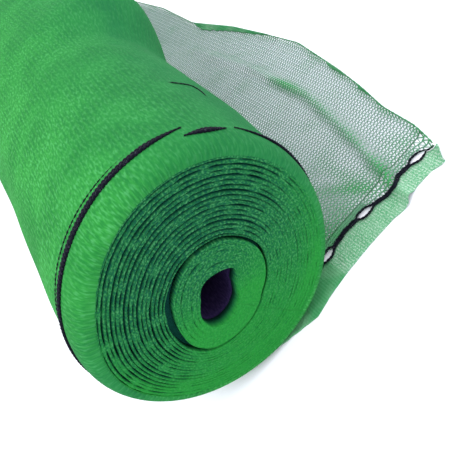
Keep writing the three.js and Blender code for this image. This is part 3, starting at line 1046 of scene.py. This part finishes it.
@dataclass
class OpenNet:
    """The open warp knit of the loose end, strand by strand: a chain in each wale, wide at each
    stitch and narrow between, and laid-in strands that zigzag between neighbouring chains."""

    cloth: LooseCloth
    chain_half_widths: tuple[float, ...] = (0.4, 0.6, 0.8, 0.6)     # over one course
    chain_half_thick: float = 0.45
    laid_half_width: float = 1.0
    laid_half_thick: float = 0.3
    laid_lower: float = -0.15          # how far over the chains' middle they run
    height: float = 0.8                # of the strands' middle over the cloth's underside
    past_edge: float = 300.0           # the wales are made out to here and then cut off
    beside: int = 3                    # wales between the eyelet line and the straight ones
    beside_size: tuple[float, float] = (200.0, 13.0)

    def patch(self, row_y: Callable[[int, Array], Array], rows: int, start: float) -> Surface:
        """The strands of some neighbouring wales, ended at the cut edge.

        Args:
            row_y: gives the y of a wale, by its number, at each x.
            rows: how many wales there are.
            start: x of the first course.

        Returns:
            One surface with all the strands.
        """
        longest = self.past_edge - start
        quarter = start + np.arange(int(longest / COURSE * 4)) * COURSE / 4
        half = start + np.arange(int(longest / COURSE * 2)) * COURSE / 2
        chain_y = np.stack([row_y(k, quarter) for k in range(rows)])
        chain_x = np.broadcast_to(quarter, chain_y.shape)
        widths = np.resize(self.chain_half_widths, len(quarter))
        chains = self.strands(chain_x, chain_y, widths, self.chain_half_thick, 0.0)
        low, high = [np.stack([row_y(k + d, half) for k in range(rows - 1)]) for d in (0, 1)]
        side = np.arange(len(half)) % 2
        laid_y = low + (high - low) * side
        laid_x = np.broadcast_to(half, laid_y.shape)
        laid = self.strands(laid_x, laid_y, np.full(len(half), self.laid_half_width),
                            self.laid_half_thick, self.laid_lower)
        return joined([chains, laid])

    def strands(self, x: Array, y: Array, wide: Array, thick: float, over: float) -> Surface:
        """Strands along X on the cloth, cut off at the cut edge.

        Args:
            x: strands by points.
            y: strands by points.
            wide: half the width at each point.
            thick: half the thickness.
            over: how far over the cloth's middle the strand lies.

        Returns:
            The strands.
        """
        cut = self.cloth.cut_x(y)
        counts = np.clip((x < cut).sum(axis=1) + 1, 2, x.shape[1])
        x = np.minimum(x, cut)
        z = self.cloth.lift(x, y) + self.height + over
        green = self.cloth.greenness(x, y)
        paths = np.stack([x, y, z], -1)
        return tubes(paths, np.array([0.0, 1.0, 0.0]), UPWARD, wide * (0.95 + green), thick, counts,
                     values={TONE: green})

    def build(self, finish: bpy.types.Material) -> list[bpy.types.Object]:
        """Makes the loose end in three widths, and the narrow width inside the eyelet line.

        Args:
            finish: the strands' material.

        Returns:
            The pieces.
        """
        cloth = self.cloth
        total = int((HALF_LENGTH - cloth.join_y) / WALE)
        stops = [0, total // 3, 2 * total // 3, total]
        pieces = []
        for number, (first, last) in enumerate(zip(stops, stops[1:]), 1):
            surface = self.patch(lambda k, x, first=first: cloth.join_y + WALE * (first + k + 0.5) + 0 * x,
                                 last - first + (number < 3), cloth.start)
            piece = make_piece(f"loose_net_{number}", surface, [finish],
                               ["loose_panel"] if number == 1 else [])
            ys = cloth.join_y + WALE * np.arange(first, last)
            pieces.append((piece, float(cloth.cut_x(ys).mean()) - cloth.start, WALE * (last - first)))
        surface = self.patch(
            lambda k, x: (1 - k / self.beside) * (cloth.line_y(x) + cloth.slit_gap(x) + 2.4)
            + k / self.beside * (cloth.join_y + WALE / 2),
            self.beside + 1, cloth.start)
        pieces.append((make_piece("line_net", surface, [finish]), *self.beside_size))
        return [piece for piece, _, _ in pieces]


@dataclass
class Hem:
    """The close-knitted hem between the eyelet line and the near selvedge, from the cut edge to
    where it runs in under the roll and turns up round its shoulder."""

    cloth: LooseCloth
    form: RollForm
    tucked_x: float = -64.0
    doubled_x: float = 78.0            # nearer the roll than this the hem lies double
    open_x: float = 172.0              # and farther out than this it is a single open layer
    thickness: float = 0.9
    rows: int = 17
    columns: int = 420
    cut_y: tuple[float, float] = (-470.0, -500.0)      # from the line to the selvedge at the cut edge
    widened: float = 22.0              # how much wider it is under the roll
    pucker: float = 0.35
    flat_size: tuple[float, float] = (0.032, 0.285)    # in metres

    def build(self, finish: bpy.types.Material) -> bpy.types.Object:
        """Makes the hem as a thin closed sheet: columns along X, rows from the line to the selvedge.

        Args:
            finish: the hem's material.

        Returns:
            The piece.
        """
        cloth = self.cloth
        share = np.linspace(0, 1, self.rows)[:, None]
        cut = cloth.cut_x(np.linspace(*self.cut_y, self.rows))[:, None]
        x = self.tucked_x + (cut - self.tucked_x) * np.linspace(0, 1, self.columns)[None, :]
        under = smoothstep(x, 30, 10)
        inner = cloth.line_y(x) - cloth.slit_gap(x) - 1.0 + self.widened * under
        y = inner + (cloth.selvedge_y(x) - inner) * share
        puckers = self.pucker * (1 + wander(np.stack([x, y], -1), (14, 40), seed=31))
        ground = np.maximum(cloth.lift(x, y), self.form.underside(x, sunk=1.2))
        z = ground + self.thickness + puckers * smoothstep(share, 0, 0.6)
        tone = (0.1 + 0.2 * smoothstep(x, self.open_x + 2, self.open_x - 2)
                + 0.7 * smoothstep(x, self.doubled_x + 3, self.doubled_x - 3)
                + 0.3 * bell(x - 173 - 0.15 * (y + 477), 1.8))
        uv = np.stack([x, np.broadcast_to(y, x.shape)], -1) * MM
        top = np.stack([x, y, z], -1)
        surface = closed_sheet(top, self.thickness, uv, {TONE: np.clip(tone, 0, 1)})
        piece = make_piece("eyelet_hem", surface, [finish],
                           ["eyelet_strip_1", "eyelet_strip_2", "eyelet_strip_3"])
        return piece


@dataclass
class EdgeFolds:
    """The stretches of the cut edge that are folded back over the cloth, as thin closed sheets."""

    cloth: LooseCloth
    folds: tuple[tuple[float, ...], ...] = (      # near end, far end, width
        (-120, 88, 10), (-317, -259, 4), (-366, -331, 3))
    ragged: float = 0.12               # how uneven their width is, as a share
    overhang: float = 0.4              # past the cut edge
    height: float = 2.6                # over the cloth's underside, at the cut edge
    slope: float = 0.9                 # down from there to the folds' own edge
    crown: float = 0.4
    thickness: float = 0.7

    def build(self, finish: bpy.types.Material) -> bpy.types.Object:
        """Makes the folds. Each widens slowly from its near end and narrows in its last fifth.

        Args:
            finish: their material.

        Returns:
            The piece.
        """
        share = np.linspace(0.01, 0.99, 60)[None, :]
        across = np.linspace(0, 1, 7)[:, None]
        lens = 0.04 + 0.96 * smoothstep(share, 1.0, 0.8) * share ** 0.8
        tops, parts = [], []
        for near_y, far_y, width in self.folds:
            y = near_y + (far_y - near_y) * share + 0 * across
            ragged = 1 + self.ragged * wander(y[..., None], (22,), 41)
            x = self.cloth.cut_x(y) + self.overhang - width * lens * across * ragged
            z = (self.cloth.lift(x, y) + self.height - self.slope * across
                 + self.crown * np.sin(np.pi * across))
            tops.append(np.stack([x, y, z], -1))
            uv = np.stack([x, y], -1) * MM
            parts.append(closed_sheet(tops[-1], self.thickness, uv, {TONE: np.ones_like(x)}))
        piece = make_piece("edge_folds", joined(parts), [finish])
        return piece


@dataclass
class CutEdgeCord:
    """The drawn-together edge along the cut end of the cloth, a thin tube on the curl."""

    cloth: LooseCloth
    radius: float = 0.8
    start_y: float = -474.0            # where the hem ends
    overhang: float = 0.3              # past the cut edge
    height: float = 0.9                # of its middle over the cloth's underside

    def build(self, finish: bpy.types.Material) -> bpy.types.Object:
        """Makes the tube along the cut edge, a little thicker and thinner along its run.

        Args:
            finish: its material.

        Returns:
            The piece.
        """
        y = np.linspace(self.start_y, HALF_LENGTH - 1, 500)
        x = self.cloth.cut_x(y) + self.overhang
        z = self.cloth.lift(x, y) + self.height
        path = np.stack([x, y, z], -1)
        across, up = framed(path, UPWARD)
        size = self.radius * (1 + 0.2 * wander(y[:, None], (9,), seed=51))
        surface = tubes(path[None], across[None], up[None], size[None], size[None], sides=6)
        return make_piece("cut_edge", surface, [finish])


@dataclass
class EyeletLine:
    """The black cords of the eyelet line: two twisted cords on the loose end that part round each
    slit, and a flat braid where the line runs round the roll."""

    cloth: LooseCloth
    form: RollForm
    start_x: float = -24.0             # the cords on the loose end start here, under the roll
    end_x: float = 226.0
    height: float = 2.1                # of their middle over the cloth's underside
    ply_radius: float = 0.85
    twist: float = 8.0                 # millimetres for one turn of the two plies
    braid_radius: float = 1.5
    braid_length: float = 11.0         # millimetres for one crossing and back
    dash: float = 4.6                  # from dash to dash of a faint strand

    def plies(self, path: Array, up: Array, count: int, radius: Array, wide: Array, high: Array,
              length: float, doubled: bool) -> Surface:
        """Plies that wind round each other along a path. Each one is offset across by wide times the
        sine of its phase, and up by high times the cosine, or twice the phase's sine in a braid.

        Args:
            path: points along the middle.
            up: roughly up at each point.
            count: how many plies.
            radius: of each ply, at each point.
            wide: how far they go across.
            high: how far they go up and down.
            length: millimetres for a full turn.
            doubled: True for a flat braid, False for a twist.

        Returns:
            The plies.
        """
        across, normal = framed(path, up)
        phase = 2 * np.pi * (run_along(path) / length + np.arange(count)[:, None] / count)
        rise = np.sin(2 * phase) if doubled else np.cos(phase)
        lines = (path + across * (wide * np.sin(phase))[..., None]
                 + normal * (high * rise + high)[..., None])
        return tubes(lines, across[None], normal[None], radius, radius, sides=6)

    def on_strip(self, finish: bpy.types.Material) -> bpy.types.Object:
        """Makes the two cords on the loose end, running on under the roll's edge.

        Args:
            finish: the cords' material.

        Returns:
            The piece.
        """
        x = np.arange(self.start_x, self.end_x, 0.7)
        parts = []
        for side in (-1, 1):
            fray = 0.3 * wander(x[:, None], (13,), seed=60 + side)
            y = self.cloth.line_y(x) + side * (self.cloth.slit_gap(x) + 1.3) + fray
            ground = np.maximum(self.cloth.lift(x, y), self.form.underside(x, sunk=1.0))
            path = np.stack([x, y, ground + self.height], -1)
            ends = np.clip(np.minimum(x - self.start_x, self.end_x - x) / 14, 0.25, 1)
            thin = np.clip((x + 30) / 90, 0.5, 1) * ends
            parts.append(self.plies(path, UPWARD, 2, self.ply_radius * thin, 0.55 * thin, 0.3, self.twist,
                                    doubled=False))
        return make_piece("cords_on_strip", joined(parts), [finish], ["line_on_strip"])

    def round_roll(self, name: str, replaced: str, from_deg: float, to_deg: float, y: Curve,
                   taper: tuple[float, float], finish: bpy.types.Material) -> bpy.types.Object:
        """Makes a braided stretch of the line round the roll.

        Args:
            name: the piece's name.
            replaced: the CAD node that it stands for.
            from_deg: where it starts.
            to_deg: where it ends.
            y: its place along the roll at each angle.
            taper: the lengths over which it thins out at its start and end.
            finish: the cords' material.

        Returns:
            The piece.
        """
        deg = np.arange(from_deg, to_deg, 0.35)
        path = self.form.outside(deg, y(deg), inset=-0.5)
        up = self.form.outside(deg, y(deg), inset=-1.5) - path
        run = run_along(path)
        thin = np.clip(np.minimum(run / taper[0], (run[-1] - run) / taper[1]), 0.12, 1) ** 0.7
        surface = self.plies(path, up, 3, self.braid_radius * thin, 2.0 * thin, 0.25, self.braid_length,
                             doubled=True)
        return make_piece(name, surface, [finish], [replaced] if replaced else [])

    def faint(self, name: str, deg: Curve, y: Curve, radius: float, broken: float,
              finish: bpy.types.Material) -> bpy.types.Object:
        """Makes a thin dark strand on the outer turn: a strand that shows through it, for the line below, and
        a line of painted shade, for the pleat.

        Args:
            name: the piece's name.
            deg: its angle, from its start at 0 to its end at 1.
            y: its place along the roll, likewise.
            radius: of the strand where it is thickest.
            broken: how far it thins out between its dashes, from 0 to 1.
            finish: the cords' material.

        Returns:
            The piece.
        """
        share = np.linspace(0, 1, 240)
        path = self.form.outside(deg(share), y(share), inset=-0.4)
        up = self.form.outside(deg(share), y(share), inset=-1.4) - path
        (across, normal), run = framed(path, up), run_along(path)
        wave = np.sin(2 * np.pi * run / self.dash + wander(run[:, None], (9,), 71))
        dashes = 1 - broken * (0.5 + 0.5 * wave)
        thin = radius * dashes * np.clip(np.minimum(share, 1 - share) * 8, 0.15, 1)
        surface = tubes(path[None], across[None], normal[None], thin[None], 0.5 * thin[None], sides=6)
        return make_piece(name, surface, [finish])

    def build(self, finish: bpy.types.Material) -> list[bpy.types.Object]:
        """Makes every stretch of the line.

        Args:
            finish: the cords' material.

        Returns:
            The pieces.
        """
        main_y = Curve((50, 60, 75, 160, 225), (-464, -468, -470, -470, -470), 6)
        step_y = Curve((30, 38, 44, 58), (-477, -479, -480, -480), 4)
        side_y = Curve((-45, 5, 18, 28, 36), (-475, -477, -481, -480, -476), 6)
        return [
            self.on_strip(finish),
            self.round_roll("braid_over_roll", "line_over_roll", 54, 226, main_y, (34, 20), finish),
            self.round_roll("braid_stepped", "", 39.5, 56, step_y, (16, 16), finish),
            self.faint("line_below", Curve((0, 1), (76, 205)),
                       Curve((0, 0.15, 0.4, 1), (-461, -460, -457, -456)), 1.1, 0.85, finish),
            # a dark strand of painted shade along the crease of a pleat
            self.faint("painted_pleat_shade", Curve((0, 0.25, 0.5, 0.75, 1), (40, 34, 28, 26, 27), 0.2),
                       Curve((0, 0.25, 0.5, 0.75, 1), (-361, -362, -359, -370, -392), 0.2), 1.1, 0.3, finish),
            self.round_roll("braid_beside_roll", "line_beside_roll", -41, 36, side_y, (14, 60), finish),
        ]


@dataclass
class Studio:
    """A pale floor, soft light from all round with a little more from two large lamps, and the
    camera where the picture was taken from. Its places and sizes are in metres."""

    eye: tuple[float, float, float] = (0.0433, -0.8691, 0.4568)
    looks_down: float = 40.0           # degrees under level
    rolled: float = -48.8              # degrees round the line of sight
    lens: float = 48.0
    sensor: float = 36.0
    clip: tuple[float, float] = (0.02, 50.0)
    floor_half: float = 4.0
    all_round: float = 1.75            # the strength of the light from all round
    lit_point: tuple[float, float, float] = (0.05, -0.2, 0.1)
    lamps: tuple[tuple, ...] = (       # name, place, side, watts
        ("key", (-1.1, -0.9, 1.8), 1.4, 18.0), ("fill", (1.3, 0.6, 1.3), 1.5, 18.0))

    def build(self, paper: bpy.types.Material) -> None:
        """Makes the floor, the lights and the camera.

        Args:
            paper: the floor's material.
        """
        half = self.floor_half
        mesh = bpy.data.meshes.new("floor")
        mesh.from_pydata([(-half, -half, 0), (half, -half, 0), (half, half, 0), (-half, half, 0)], [],
                         [(0, 1, 2, 3)])
        mesh.materials.append(paper)
        self.placed("floor", mesh, np.eye(3), (0, 0, 0))
        world = bpy.data.worlds.new("studio")
        bpy.context.scene.world = world
        world.use_nodes = True
        background = world.node_tree.nodes["Background"]
        background.inputs["Color"].default_value = linear("FFFFFF")
        background.inputs["Strength"].default_value = self.all_round
        for name, place, side, watts in self.lamps:
            light = bpy.data.lights.new(name, "AREA")
            light.size, light.energy = side, watts
            back = unit(np.array(place) - self.lit_point)
            right = unit(np.cross(UPWARD, back))
            self.placed(name, light, (right, np.cross(back, right), back), place)
        bpy.context.scene.view_settings.view_transform = "Standard"
        self.camera()

    def placed(self, name: str, data: bpy.types.ID, axes: Sequence[Array],
               place: Sequence[float]) -> bpy.types.Object:
        """Puts a thing of the studio into the scene.

        Args:
            name: its name.
            data: its mesh, light or camera.
            axes: its right, its up and its back, as unit vectors.
            place: where it is.

        Returns:
            The new object.
        """
        matrix = np.eye(4)
        matrix[:3, :3], matrix[:3, 3] = np.array(axes).T, place
        thing = bpy.data.objects.new(name, data)
        thing.matrix_world = Matrix(matrix.tolist())
        bpy.context.scene.collection.objects.link(thing)
        return thing

    def camera(self) -> None:
        """Places the camera: level, tipped down, and then rolled round its line of sight."""
        down, roll = math.radians(self.looks_down), math.radians(self.rolled)
        back = np.array([0, -math.cos(down), math.sin(down)])
        right = np.array([1.0, 0, 0])
        up = np.cross(back, right)
        lens = bpy.data.cameras.new("camera")
        lens.lens, lens.sensor_width, lens.sensor_fit = self.lens, self.sensor, "HORIZONTAL"
        lens.clip_start, lens.clip_end = self.clip
        axes = (math.cos(roll) * right + math.sin(roll) * up, math.cos(roll) * up - math.sin(roll) * right,
                back)
        bpy.context.scene.camera = self.placed("camera", lens, axes, self.eye)


def main() -> None:
    """Builds the studio and every piece in order."""
    logging.basicConfig(level=logging.INFO, format="%(message)s")
    Studio().build(PALE_FLOOR.build())
    form, cloth = RollForm(), LooseCloth()
    edge_finish, hem_finish = TurnEdge().build(), HemKnit().build()
    WoundWeb(form).build([WoundKnit().build(), edge_finish, HOLLOW_WALL.build()])
    TurnEdges(form, End.NEAR).build(edge_finish)
    TurnEdges(form, End.FAR, steps=160, knuckle=0.0).build(edge_finish)
    OpenNet(cloth).build(OPEN_STRAND.build())
    Hem(cloth, form).build(hem_finish)
    EdgeFolds(cloth).build(hem_finish)
    CutEdgeCord(cloth).build(CUT_EDGE.build())
    EyeletLine(cloth, form).build(BLACK_CORD.build())


if __name__ == "__main__":
    main()
